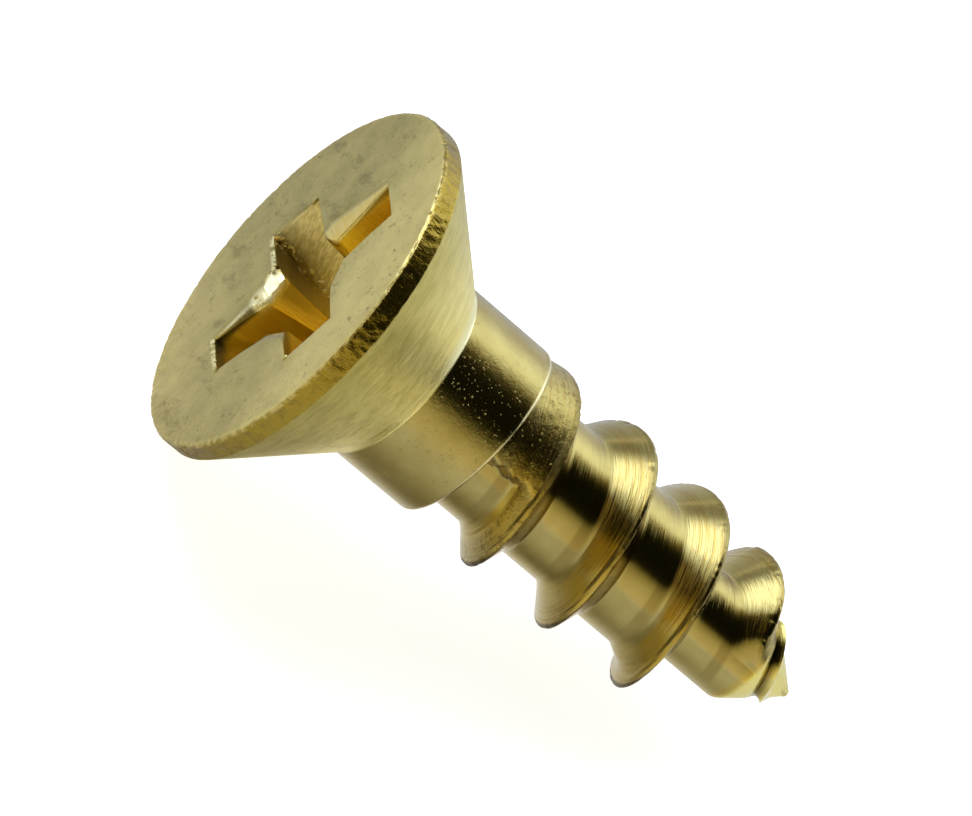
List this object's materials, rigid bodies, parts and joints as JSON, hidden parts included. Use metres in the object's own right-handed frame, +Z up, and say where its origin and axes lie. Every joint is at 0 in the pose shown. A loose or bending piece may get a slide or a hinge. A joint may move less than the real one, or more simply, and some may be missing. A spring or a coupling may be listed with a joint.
{
  "type": "chipboard screw",
  "caption": "Short brass screw with a flat countersunk head, a cross recess, a plain shank and a coarse right-hand wood thread that runs out on a blunt point.",
  "frame": {"origin": "on the surface that the screw lies on, under the middle of its length", "axes": "+X towards the head face's side, -X towards the point, +Z up from the surface; the screw's own axis lies in the XZ plane and slopes down 10.0 degrees towards the point"},
  "size_m": [0.0124, 0.0068, 0.0068],
  "materials": {
    "brass": "turned brass, matte on the face and satin elsewhere, with turning marks round the cone, scratches along the shank and cutting lines along the thread"
  },
  "bodies": {
    "root": {"screw": "brass"}
  },
  "joints": []
}
